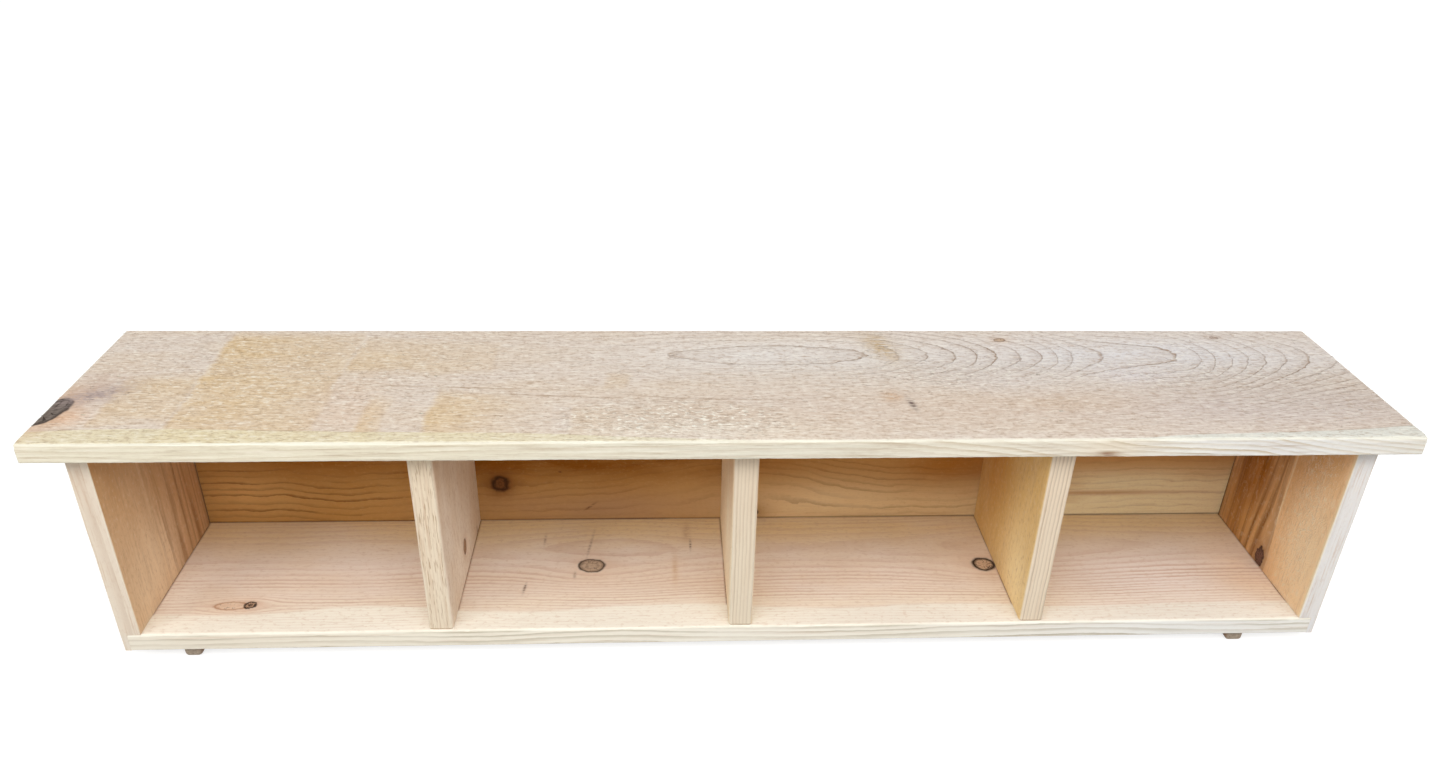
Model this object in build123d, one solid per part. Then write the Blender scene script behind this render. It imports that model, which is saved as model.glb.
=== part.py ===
from build123d import *
import os

# A low four-bay storage unit in rough-sawn softwood: two rabbeted sides, three dividers,
# a bottom board, a full back and an overhanging top, nailed together and standing on
# two runners. Millimetres. X runs along the unit, +Y to the back, +Z up, and the origin
# is on the floor under the middle of the top board.

# Carcass boards
case_width = 1524.0
case_height = 292.0
side_depth = 235.0
side_thickness = 25.0
bottom_thickness = 25.0
back_thickness = 25.0
rabbet_lip = 8.5

# Bays, set out with a spacer from the first divider so the last bay takes what is left
first_bay_width = 351.0
bay_width = 346.0
bay_count = 4
divider_thickness = 30.0
divider_setback = 3.0

# Top board, flush with the back board and proud of the case at the front and ends
top_thickness = 25.0
top_end_overhang = 33.0
top_front_overhang = 25.0

# Runners under the bottom board
runner_width = 22.0
runner_height = 19.0
runner_setback = 8.0
left_runner_inset = 66.0
right_runner_inset = 87.0
runner_nose = 5.0
runner_bevel = 4.5

# Eased edges
top_front_ease = 4.0
top_ease = 2.0
bottom_front_ease = 3.0
bottom_under_ease = 1.5
side_ease = 2.0
divider_ease = 4.0
back_ease = 2.0

# Gun-driven finish nails with T heads, and the rows they stand in
nail_length = 63.0
nail_width = 2.0
nail_thickness = 1.8
nail_head_width = 4.4
nail_head_height = 1.6
nail_point_length = 4.0
nail_set = 1.2
top_nail_inset = 40.0
top_nail_spacing = 92.0
bottom_nail_inset = 40.0
bottom_nail_rear_inset = 50.0
back_nail_margin = 30.0
back_nail_drop = 60.0

# Countersunk wood screws that hold the runners
screw_length = 35.0
screw_diameter = 4.0
screw_head_diameter = 8.0
screw_head_rim = 0.5
screw_point_length = 7.0
screw_set = 1.5
screw_slot_length = 4.6
screw_slot_width = 1.1
screw_slot_depth = 1.8
screw_inset = 45.0

# Room around each fastener in its hole
hole_clearance = 0.05

# Planes and lengths that follow from the sizes above
unit_depth = top_front_overhang + side_depth + back_thickness
front_y = top_front_overhang - unit_depth / 2
inner_back_y = front_y + side_depth
rear_y = inner_back_y + back_thickness
under_z = runner_height
floor_z = under_z + bottom_thickness
roof_z = under_z + case_height
deck_z = roof_z + top_thickness
half_case = case_width / 2
half_inner = half_case - side_thickness
half_bottom = half_case - rabbet_lip
divider_depth = side_depth - divider_setback
runner_front_y = front_y + runner_setback
runner_rear_y = inner_back_y - runner_setback

# Middles of the uprights, of their footings on the bottom board and of the bays
half_divider = divider_thickness / 2
first_divider_x = first_bay_width + half_divider - half_inner
divider_xs = [first_divider_x + i * (bay_width + divider_thickness) for i in range(bay_count - 1)]
side_x = (half_case + half_inner) / 2
upright_xs = [-side_x, *divider_xs, side_x]
shoulder_x = (half_bottom + half_inner) / 2
footing_xs = [-shoulder_x, *divider_xs, shoulder_x]
bay_lefts = [-half_inner, *[x + half_divider for x in divider_xs]]
bay_rights = [*[x - half_divider for x in divider_xs], half_inner]
bay_xs = [(left + right) / 2 for left, right in zip(bay_lefts, bay_rights)]
left_runner_x = left_runner_inset + runner_width / 2 - half_case
right_runner_x = half_case - right_runner_inset - runner_width / 2


def finish_nail(room=0.0, reach=0.0):
    # T-headed wire with a chisel point, its crown at the origin and driven towards -Z.
    # Grown by room and opened upwards by reach, it is the hole that the nail lies in.
    half_head = nail_head_width / 2 + room
    half_wire = nail_width / 2 + room
    shoulder_z = -nail_head_height - room
    taper_z = nail_point_length - nail_length
    outline = Polyline(
        (-half_head, reach),
        (half_head, reach),
        (half_head, shoulder_z),
        (half_wire, shoulder_z),
        (half_wire, taper_z),
        (0, -nail_length - room),
        (-half_wire, taper_z),
        (-half_wire, shoulder_z),
        (-half_head, shoulder_z),
        close=True,
    )
    return extrude(Plane.XZ * make_face(outline), amount=nail_thickness / 2 + room, both=True)


def screw_blank(room=0.0, reach=0.0):
    # Countersunk head, plain shank and gimlet point, turned about Z and driven towards -Z.
    # Grown by room and opened upwards by reach, it is the screw's pilot hole.
    head = screw_head_diameter / 2 + room
    shank = screw_diameter / 2 + room
    rim_z = -screw_head_rim - room
    half_profile = Polyline(
        (0, reach),
        (head, reach),
        (head, rim_z),
        (shank, rim_z - (head - shank)),
        (shank, screw_point_length - screw_length),
        (0, -screw_length - room),
        close=True,
    )
    return revolve(Plane.XZ * make_face(half_profile), Axis.Z)


def wood_screw():
    # Crossed drive slots cut into the head
    arm = Rectangle(screw_slot_length, screw_slot_width)
    return screw_blank() - extrude(arm + Rot(0, 0, 90) * arm, amount=-screw_slot_depth)


# Where each fastener's head sits, with its local -Z along the way it is driven
upwards = (180, 0, 0)
forwards = (-90, 0, 0)
top_rows = [front_y + top_nail_inset, front_y + top_nail_inset + top_nail_spacing]
bottom_rows = [front_y + bottom_nail_inset, inner_back_y - bottom_nail_rear_inset]
back_rows = [under_z + nail_length + back_nail_margin, roof_z - back_nail_drop]
screw_rows = [runner_front_y + screw_inset, runner_rear_y - screw_inset]
edge_z = (under_z + floor_z) / 2
top_z = deck_z - nail_set
bottom_z = under_z + nail_set
back_y = rear_y - nail_set
top_sites = [Location((x, y, top_z)) for x in upright_xs for y in top_rows]
bottom_sites = [Location((x, y, bottom_z), upwards) for x in footing_xs for y in bottom_rows]
back_sites = [Location((x, back_y, z), forwards) for x in upright_xs for z in back_rows]
back_sites += [Location((x, back_y, edge_z), forwards) for x in bay_xs]
screw_xs = [left_runner_x, right_runner_x]
screw_sites = [Location((x, y, screw_set), upwards) for x in screw_xs for y in screw_rows]

nail_hole = finish_nail(hole_clearance, nail_set)
screw_hole = screw_blank(hole_clearance, screw_set)
fastener_holes = [site * nail_hole for site in top_sites + bottom_sites + back_sites]
fastener_holes += [site * screw_hole for site in screw_sites]


def drilled(board):
    # The board with every fastener hole that reaches it
    return board - fastener_holes


def driven(fastener, sites):
    # One fastener at each site, each a solid of its own
    return Compound(children=[site * fastener for site in sites])


def along_length(section, length):
    # A board whose Y-Z section runs along X, centred on the origin
    return extrude(Plane.YZ * section, amount=length / 2, both=True)


def top_board():
    # Front arris well rounded by wear, the others only broken
    section = Pos(0, (roof_z + deck_z) / 2) * Rectangle(unit_depth, top_thickness)
    front_corner = section.vertices().group_by(Axis.X)[0].sort_by(Axis.Y)[-1]
    section = fillet(front_corner, top_front_ease)
    section = fillet(section.vertices().group_by(Axis.Y)[0], top_ease)
    plank = along_length(section, case_width + 2 * top_end_overhang)
    ends = plank.faces().filter_by(Axis.X)
    return drilled(fillet(ends.edges(), top_ease))


def left_side():
    # Upright board whose foot is rabbeted on the inside to take the bottom board
    outline = Polyline(
        (-half_case, under_z),
        (-half_bottom, under_z),
        (-half_bottom, floor_z),
        (-half_inner, floor_z),
        (-half_inner, roof_z),
        (-half_case, roof_z),
        close=True,
    )
    side = extrude(Plane.XZ.offset(-front_y) * make_face(outline), amount=-side_depth)
    front_edges = side.edges().filter_by(Axis.Z).group_by(Axis.Y)[0]
    arrises = [edge for edge in front_edges if edge.length > bottom_thickness]
    return fillet(arrises, side_ease)


def bottom_board():
    # Lies in both rabbets, its front edge flush with the sides
    section = Rectangle(side_depth, bottom_thickness)
    upper_corner = section.vertices().group_by(Axis.X)[0].sort_by(Axis.Y)[-1]
    section = fillet(upper_corner, bottom_front_ease)
    lower_corner = section.vertices().group_by(Axis.Y)[0].sort_by(Axis.X)[0]
    section = fillet(lower_corner, bottom_under_ease)
    placed = Pos((front_y + inner_back_y) / 2, (under_z + floor_z) / 2) * section
    return drilled(along_length(placed, 2 * half_bottom))


def divider(x):
    # Stands on the bottom board, a little behind its front edge
    plan = Rectangle(divider_thickness, divider_depth)
    plan = fillet(plan.vertices().group_by(Axis.Y)[0], divider_ease)
    placed = Pos(x, inner_back_y - divider_depth / 2, floor_z) * plan
    return drilled(extrude(placed, amount=roof_z - floor_z))


def back_board():
    # Covers the rear edges of the sides, dividers and bottom
    face = Pos(0, (under_z + roof_z) / 2) * Rectangle(case_width, case_height)
    panel = extrude(Plane.XZ.offset(-inner_back_y) * face, amount=-back_thickness)
    rim = panel.faces().sort_by(Axis.Y)[-1].edges().sort_by(Axis.Z)[:-1]
    return drilled(fillet(rim, back_ease))


def runner(x):
    # A batten across the underside with its lower ends and long lower edges bevelled off
    profile = Rectangle(runner_rear_y - runner_front_y, runner_height)
    profile = chamfer(profile.vertices().group_by(Axis.Y)[0], runner_nose)
    placed = Pos((runner_front_y + runner_rear_y) / 2, runner_height / 2) * profile
    batten = Pos(X=x) * along_length(placed, runner_width)
    foot = batten.faces().sort_by(Axis.Z)[0]
    return drilled(chamfer(foot.edges().filter_by(Axis.Y), runner_bevel))


side = left_side()
nail = finish_nail()
nodes = {
    "top_board": top_board(),
    "left_side": drilled(side),
    "right_side": drilled(mirror(side, Plane.YZ)),
    "bottom_board": bottom_board(),
    "back_board": back_board(),
    "left_runner": runner(left_runner_x),
    "right_runner": runner(right_runner_x),
    "top_nails": driven(nail, top_sites),
    "bottom_nails": driven(nail, bottom_sites),
    "back_nails": driven(nail, back_sites),
    "runner_screws": driven(wood_screw(), screw_sites),
}
for name, x in zip(("left_divider", "centre_divider", "right_divider"), divider_xs):
    nodes[name] = divider(x)

os.makedirs("parts", exist_ok=True)
for name, node in nodes.items():
    export_step(node, f"parts/{name}.step")
    print(name, len(node.solids()), "solids", round(node.volume / 1000.0, 2), "cm3")
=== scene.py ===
import math

import bmesh
import bpy
from mathutils import Matrix, Vector


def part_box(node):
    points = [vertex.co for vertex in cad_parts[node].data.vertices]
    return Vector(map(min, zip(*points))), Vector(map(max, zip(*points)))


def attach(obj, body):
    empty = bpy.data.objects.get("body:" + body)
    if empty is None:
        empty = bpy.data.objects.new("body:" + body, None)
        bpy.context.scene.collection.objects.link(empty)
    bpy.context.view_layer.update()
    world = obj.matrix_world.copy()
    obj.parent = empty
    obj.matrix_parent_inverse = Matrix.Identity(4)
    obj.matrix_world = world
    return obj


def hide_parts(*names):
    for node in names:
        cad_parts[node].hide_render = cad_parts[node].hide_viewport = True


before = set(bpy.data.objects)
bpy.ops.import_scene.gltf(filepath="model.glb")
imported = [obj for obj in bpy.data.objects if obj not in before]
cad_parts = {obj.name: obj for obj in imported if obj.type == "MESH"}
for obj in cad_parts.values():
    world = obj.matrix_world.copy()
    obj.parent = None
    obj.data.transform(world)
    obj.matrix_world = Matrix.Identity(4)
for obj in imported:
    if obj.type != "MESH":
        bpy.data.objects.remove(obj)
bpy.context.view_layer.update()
print("frame loaded:", len(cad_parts), "CAD nodes")


# Node maths: a Wire is a node's output that can be added, multiplied and so on like a number.

class Wire:
    def __init__(self, tree, socket):
        self.tree = tree
        self.socket = socket

    def join(self, operation, first, second):
        values = [first, second]
        isVector = any(isinstance(v, (tuple, Vector)) for v in values)
        isVector = isVector or any(isinstance(v, Wire) and v.socket.type != "VALUE" for v in values)
        made = self.tree.nodes.new("ShaderNodeVectorMath" if isVector else "ShaderNodeMath")
        made.operation = operation
        for place, value in enumerate(values):
            if isVector and isinstance(value, (int, float)):
                value = (value, value, value)
            plug(self.tree, value, made.inputs[place])
        return Wire(self.tree, made.outputs[0])

    def __add__(self, other):
        return self.join("ADD", self, other)

    def __sub__(self, other):
        return self.join("SUBTRACT", self, other)

    def __rsub__(self, other):
        return self.join("SUBTRACT", other, self)

    def __mul__(self, other):
        return self.join("MULTIPLY", self, other)

    def __truediv__(self, other):
        return self.join("DIVIDE", self, other)

    def __pow__(self, other):
        return self.join("POWER", self, other)

    __radd__ = __add__
    __rmul__ = __mul__


def plug(tree, value, socket):
    if isinstance(value, bpy.types.Node):
        value = wire(value)
    if isinstance(value, Wire):
        tree.links.new(value.socket, socket)
    else:
        socket.default_value = value


def put(tree, kind, inputs=None, **settings):
    made = tree.nodes.new(kind)
    for name, value in settings.items():
        setattr(made, name, value)
    for name, value in (inputs or {}).items():
        plug(tree, value, made.inputs[name])
    return made


def wire(node, output=0):
    return Wire(node.id_data, node.outputs[output])


def calc(operation, *values):
    tree = next(v.tree for v in values if isinstance(v, Wire))
    return wire(put(tree, "ShaderNodeMath", dict(enumerate(values)), operation=operation))


def vectorCalc(operation, *values, output=0):
    tree = next(v.tree for v in values if isinstance(v, Wire))
    return wire(put(tree, "ShaderNodeVectorMath", dict(enumerate(values)), operation=operation), output)


def split(vector):
    made = put(vector.tree, "ShaderNodeSeparateXYZ", {0: vector})
    return [wire(made, i) for i in range(3)]


def combine(tree, x, y, z):
    return wire(put(tree, "ShaderNodeCombineXYZ", {0: x, 1: y, 2: z}))


def soft(value, low, high, toLow=0, toHigh=1):  # smooth step from low to high
    return wire(put(value.tree, "ShaderNodeMapRange", {0: value, 1: low, 2: high, 3: toLow, 4: toHigh},
                    interpolation_type="SMOOTHSTEP"))


def bell(squares):  # 1 at the centre, falling off with the squared distance
    return calc("EXPONENT", squares * -1)


def noise(vector, seed, detail=2, roughness=0.5, distortion=0, output=0):
    made = put(vector.tree, "ShaderNodeTexNoise",
               {"Vector": vector, "W": seed, "Scale": 1, "Detail": detail, "Roughness": roughness,
                "Distortion": distortion}, noise_dimensions="4D")
    return wire(made, output)


def putExact(tree, kind, inputs, output, **settings):  # for nodes whose sockets share their names
    made = put(tree, kind, **settings)
    for socket in made.inputs:
        if socket.identifier in inputs:
            plug(tree, inputs[socket.identifier], socket)
    return Wire(tree, next(socket for socket in made.outputs if socket.identifier == output))


def ink(colour):  # colours are given as a screen shows them, 0 to 255
    def linear(value):
        part = value / 255
        return part / 12.92 if part <= 0.04045 else ((part + 0.055) / 1.055) ** 2.4
    return (*[linear(value) for value in colour], 1)


def blend(amount, under, over):
    under, over = [ink(colour) if isinstance(colour, tuple) else colour for colour in (under, over)]
    inputs = {"Factor_Float": amount, "A_Color": under, "B_Color": over}
    return putExact(amount.tree, "ShaderNodeMix", inputs, "Result_Color", data_type="RGBA")


# Places on a board are (along the grain, across it), in the frame's metres.

def mark(at, size, colour, amount, **more):  # a wash or a stain; some washes paint light and shade
    return dict(at=at, size=size, colour=colour, amount=amount, **more)


def area(at, size, amount):  # where rings or torn fibres show more
    return dict(at=at, size=size, amount=amount)


def knotAt(at, size, core, coreDark, rim, halo, **more):
    return dict(at=at, size=size, core=core, coreDark=coreDark, rim=rim, halo=halo, **more)


# Sawn boards: one tree lays out a grid box, wears its arrises round and roughens its faces.

def inputSockets(tree, wanted):
    for name, kind in wanted.items():
        tree.interface.new_socket(name, in_out="INPUT", socket_type="NodeSocket" + kind)
    tree.interface.new_socket("Geometry", in_out="OUTPUT", socket_type="NodeSocketGeometry")
    start = tree.nodes.new("NodeGroupInput")
    return {name: wire(start, name) for name in wanted}


def mapVector(value, fromLow, fromHigh, toHigh):
    inputs = {"Vector": value, "From_Min_FLOAT3": fromLow, "From_Max_FLOAT3": fromHigh,
              "To_Min_FLOAT3": (0, 0, 0), "To_Max_FLOAT3": toHigh}
    return putExact(value.tree, "ShaderNodeMapRange", inputs, "Vector", data_type="FLOAT_VECTOR")


edgeCells = 3       # grid rows spent on each rounded arris
leastEase = 0.0004  # sharpest arris
hair = 0.00001      # as good as nothing
arrisGain = 2.4     # brings the middle of an arris to 1
wearRate = 14       # noise per metre along an arris
crookRate = 3.2     # and for the slow crook


def sawnBoardTree():
    tree = bpy.data.node_groups.new("sawnBoard", "GeometryNodeTree")
    given = inputSockets(tree, {"Low Corner": "Vector", "High Corner": "Vector", "Cell": "Float",
                                "Ease": "Float", "Front Ease": "Float", "Rear Ease": "Float",
                                "Ease Axes": "Vector", "Ease Wear": "Float", "Saw Depth": "Float",
                                "Saw Scale": "Vector", "Crook": "Float", "Seed": "Float",
                                "Cutters": "Object", "Finish": "Material"})
    low = given["Low Corner"]
    high = given["High Corner"]
    zone = calc("MAXIMUM", given["Ease"], given["Front Ease"]) * (given["Ease Wear"] + 1)
    size = high - low
    plainCells = vectorCalc("MAXIMUM", vectorCalc("CEIL", (size - zone * 2) / given["Cell"]), (1, 1, 1))
    cells = plainCells + 2 * edgeCells
    counts = split(cells + 1)
    block = put(tree, "GeometryNodeMeshCube", {"Size": (1, 1, 1), "Vertices X": counts[0],
                                               "Vertices Y": counts[1], "Vertices Z": counts[2]})
    row = (wire(put(tree, "GeometryNodeInputPosition")) + 0.5) * cells
    edgeRows = (edgeCells, edgeCells, edgeCells)
    zoneSize = combine(tree, zone, zone, zone)
    spot = low + mapVector(row, (0, 0, 0), edgeRows, zoneSize)
    spot = spot + mapVector(row, edgeRows, cells - edgeRows, size - zoneSize * 2)
    spot = spot + mapVector(row, cells - edgeRows, cells, zoneSize)

    # the arris radius swells and thins along the edge; the front top and the rear have their own sizes
    spotY, spotZ = split(spot)[1:]
    lowY = split(low)[1]
    highY, highZ = split(high)[1:]
    onRear = calc("GREATER_THAN", spotY, highY - zone - hair)
    onFront = calc("LESS_THAN", spotY, lowY + zone + hair)
    onFront = onFront * calc("GREATER_THAN", spotZ, highZ - zone - hair)
    worn = noise(spot * wearRate, given["Seed"], detail=3) - 0.5
    radius = given["Ease"] + (given["Front Ease"] - given["Ease"]) * onFront
    radius = radius + (given["Rear Ease"] - given["Ease"]) * onRear
    radius = calc("MAXIMUM", radius * (given["Ease Wear"] * worn * 4 + 1), leastEase)
    radius = calc("MINIMUM", radius, zone)
    inset = given["Ease Axes"] * radius
    core = vectorCalc("MAXIMUM", vectorCalc("MINIMUM", spot, high - inset), low + inset)
    away = spot - core
    reach = calc("MAXIMUM", vectorCalc("LENGTH", away, output=1), hair)
    rounded = core + away * calc("MINIMUM", radius / reach, 1)
    x, y, z = split(vectorCalc("ABSOLUTE", away))
    arris = ((x + y + z) / reach - 1) * arrisGain
    marked = put(tree, "GeometryNodeStoreNamedAttribute",
                 {"Geometry": block, "Name": "arris", "Value": arris}, data_type="FLOAT", domain="POINT")
    eased = put(tree, "GeometryNodeSetPosition", {"Geometry": marked, "Position": rounded})

    # saw roughness and a slow crook, both only ever inwards
    place = wire(put(tree, "GeometryNodeInputPosition"))
    rough = noise(place * given["Saw Scale"], given["Seed"] + 3.7, detail=3, roughness=0.6)
    slow = noise(place * crookRate, given["Seed"] + 8.1, detail=1)
    inward = given["Saw Depth"] * soft(rough, 0.2, 0.8) + given["Crook"] * soft(slow, 0.25, 0.75)
    facing = wire(put(tree, "GeometryNodeInputNormal"))
    sawn = put(tree, "GeometryNodeSetPosition", {"Geometry": eased, "Offset": facing * inward * -1})

    cutters = put(tree, "GeometryNodeObjectInfo", {"Object": given["Cutters"]}, transform_space="RELATIVE")
    cut = put(tree, "GeometryNodeMeshBoolean", {"Mesh 1": sawn, "Mesh 2": wire(cutters, "Geometry")},
              operation="DIFFERENCE", solver="MANIFOLD")
    smooth = put(tree, "GeometryNodeSetShadeSmooth", {"Geometry": cut})
    whole = put(tree, "GeometryNodeRealizeInstances", {"Geometry": smooth})
    finished = put(tree, "GeometryNodeSetMaterial", {"Geometry": whole, "Material": given["Finish"]})
    plug(tree, finished, tree.nodes.new("NodeGroupOutput").inputs[0])
    return tree


def settle(obj, tree, values):  # runs the tree on obj, then keeps the result as a plain mesh
    modifier = obj.modifiers.new(tree.name, "NODES")
    modifier.node_group = tree
    for socket in tree.interface.items_tree:
        if socket.in_out == "INPUT" and socket.name in values:
            modifier[socket.identifier] = values[socket.name]
    graph = bpy.context.evaluated_depsgraph_get()
    result = bpy.data.meshes.new_from_object(obj.evaluated_get(graph), preserve_all_data_layers=True,
                                             depsgraph=graph)
    obj.modifiers.clear()
    spare, obj.data = obj.data, result
    bpy.data.meshes.remove(spare)
    return obj


def newMaterial(name):
    material = bpy.data.materials.new(name)
    material.use_nodes = True
    return material, material.node_tree, material.node_tree.nodes["Principled BSDF"]


roundSides = 24  # sides of a round cutter


def newObject(name, data=None):
    obj = bpy.data.objects.new(name, data or bpy.data.meshes.new(name))
    bpy.context.scene.collection.objects.link(obj)
    return obj


def fitTo(low, high):  # brings a shape one metre across into the box
    middle = (Vector(high) + Vector(low)) / 2
    return Matrix.Translation(middle) @ Matrix.Diagonal((*(Vector(high) - Vector(low)), 1))


def boxesMesh(name, boxes, rounds=()):  # rounds are upright cylinders that fill their boxes
    shape = bmesh.new()
    for box in boxes:
        bmesh.ops.create_cube(shape, size=1.0, matrix=fitTo(*box))
    for box in rounds:
        bmesh.ops.create_cone(shape, cap_ends=True, segments=roundSides, radius1=0.5, radius2=0.5, depth=1.0,
                              matrix=fitTo(*box))
    mesh = bpy.data.meshes.new(name)
    shape.to_mesh(mesh)
    shape.free()
    return mesh


def fastenerBoxes(node):  # the box of each separate nail or screw in a CAD node
    shape = bmesh.new()
    shape.from_mesh(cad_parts[node].data)
    bmesh.ops.remove_doubles(shape, verts=shape.verts, dist=1e-6)
    waiting = set(shape.verts)
    boxes = []
    for first in shape.verts:
        if first not in waiting:
            continue
        waiting.discard(first)
        group = [first]
        for vert in group:
            for edge in vert.link_edges:
                other = edge.other_vert(vert)
                if other in waiting:
                    waiting.discard(other)
                    group.append(other)
        corners = [v.co for v in group]
        boxes.append((Vector([min(c[i] for c in corners) for i in range(3)]),
                      Vector([max(c[i] for c in corners) for i in range(3)])))
    shape.free()
    return sorted(boxes, key=lambda b: tuple(round(x, 5) for x in b[0]))


nailGap = 0.00025   # room round a nail head in its slot
nailSeen = 0.0012   # how far the slot is cut down beside the head
slotOut = 0.006     # how far its cutter stands out of the board


def nailSlots(node, axis, side):  # side +1: heads face the high end of the axis
    slots = []
    room = Vector((nailGap,) * 3)
    for low, high in fastenerBoxes(node):
        slotLow = low - room
        slotHigh = high + room
        if side > 0:
            slotLow[axis] = high[axis] - nailSeen
            slotHigh[axis] = high[axis] + slotOut
        else:
            slotLow[axis] = low[axis] - slotOut
            slotHigh[axis] = low[axis] + nailSeen
        slots.append((slotLow, slotHigh))
    return slots


# Wood: growth rings round a wandering pith, parted by knots, cut by the board's own faces.

def spotMask(g, a, spot):  # soft oval that may run off the grain, bend and slant
    along = g - spot["at"][0]
    across = a - spot["at"][1]
    if "bend" in spot:
        across = across - along * (along * spot["bend"] + spot.get("tilt", 0))
    along = along + across * spot.get("slant", 0)
    return bell((along / spot["size"][0]) ** 2 + (across / spot["size"][1]) ** 2)


def zoned(g, a, base, zones):  # an even base, stronger in each zone
    total = base
    for zone in zones:
        total = spotMask(g, a, zone) * zone["amount"] + total
    return total


def window(value, low, high, edge):  # 1 between low and high
    return soft(value, low - edge, low + edge) * soft(value, high + edge, high - edge)


def curveThrough(value, points):  # smooth curve through (in, out) points, all 0 to 1
    made = put(value.tree, "ShaderNodeFloatCurve", {"Value": value})
    curve = made.mapping.curves[0]
    curve.points[0].location = points[0]
    curve.points[1].location = points[-1]
    for place in points[1:-1]:
        curve.points.new(*place)
    made.mapping.update()
    return wire(made)


def fadeAlong(g, a, fade):  # axis, from, to, value before, value after
    return soft(g if fade[0] == "g" else a, *fade[1:])


boardHalf = 0.8     # places along a board's grain run from -boardHalf to boardHalf
stripMost = 0.06    # widest sapwood strip
deepest = 0.1       # most that the pith sinks along a board
sawPitch = 0.0065   # between the marks that the saw blade left
patchRate = (5, 16, 16)   # noise per metre with the grain, across and through the board
waverRate = (34, 95, 95)  # of the rings' wavering
lapseRate = (7, 45, 45)   # of the gaps in the rings
crackDark = (44, 30, 22)


def knotField(g, a, t, knot, seed):  # how far the knot pushes the grain aside, and its own markings
    across = a - knot["at"][1]
    along = g - knot["at"][0] - across * knot.get("slant", 0)
    reach = knot["size"] * knot.get("reach", 2)
    spread = (along / (reach * knot.get("run", 2.6))) ** 2 + (across / reach) ** 2
    pull = bell(spread) * knot.get("push", 0.85)
    ragged = noise(combine(g.tree, g, a, t) * (1.1 / knot["size"]), seed, detail=3) - 0.5
    squeezed = along / knot.get("stretch", 1.3)
    width = (t * knot.get("taper", 8) + 1) * knot["size"]  # narrower towards the pith
    off = calc("SQRT", squeezed * squeezed + across * across) / width + ragged * knot.get("ragged", 0.5)
    spokes = calc("ABSOLUTE", calc("SINE", calc("ARCTAN2", across, squeezed) * 3.5 + ragged * 12))
    return dict(knot=knot, shift=across * pull * -1, off=off, ragged=ragged,
                core=soft(off, 1, 0.86), rim=bell(((off - 0.94) / knot.get("rimWidth", 0.12)) ** 2),
                halo=bell((off / knot.get("haloReach", 2)) ** 2),
                crack=soft(spokes, 0.26, 0.1) * soft(off, 0.95, 0.7) * soft(off, 0.1, 0.4))


def growthRings(g, a, t, rings, seed):
    tree = g.tree
    sway = split(noise(combine(tree, g * rings.get("swayRate", 3), 0, 0), seed, detail=2, output=1))
    pithAcross = rings["pithAcross"] + (sway[0] - 0.5) * rings.get("sway", 0.02)
    depth = t + rings["depth"] + (sway[1] - 0.5) * rings.get("sway", 0.02)
    if "profile" in rings:
        points = [((at / boardHalf + 1) / 2, deeper / deepest) for at, deeper in rings["profile"]]
        depth = depth + curveThrough(g / (2 * boardHalf) + 0.5, points) * deepest
    for at, halfWidth, amount in rings.get("dips", []):
        depth = depth - bell(((g - at) / halfWidth) ** 2) * amount
    radius = calc("SQRT", (a - pithAcross) ** 2 + depth * depth)
    place = combine(tree, g, a, t)
    waver = noise(place * waverRate, seed + 1.3, detail=3, roughness=0.6) - 0.5
    ringRadius = radius + waver * rings.get("waver", 0.003)
    uneven = noise(combine(tree, ringRadius * (0.3 / rings["width"]), 0, 0), seed + 2.9, detail=1) - 0.5
    count = ringRadius / rings["width"] + uneven * rings.get("uneven", 1.6) + rings.get("offset", 0)
    phase = calc("FRACT", count)
    peak = rings.get("latePeak", 0.9)
    lateFrom = rings.get("lateFrom", 0.35)
    share = wire(put(tree, "ShaderNodeTexWhiteNoise", {"W": calc("FLOOR", count)}, noise_dimensions="1D"))
    lapse = noise(place * lapseRate, seed + 3.3, detail=2)
    shown = (share * 0.6 + 0.4) * soft(lapse, 0.36, 0.58, 1 - rings.get("broken", 0.4), 1)
    shown = shown * soft(phase, 1, (peak + 1) / 2)
    ramp = rings.get("ramp", 0)
    onFace = soft(phase, lateFrom, peak) * (1 - ramp) + soft(phase, 0.2, peak) * ramp
    onEdge = soft(phase, rings.get("edgeFrom", lateFrom), peak)
    return onFace * shown, onEdge * shown, phase


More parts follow.
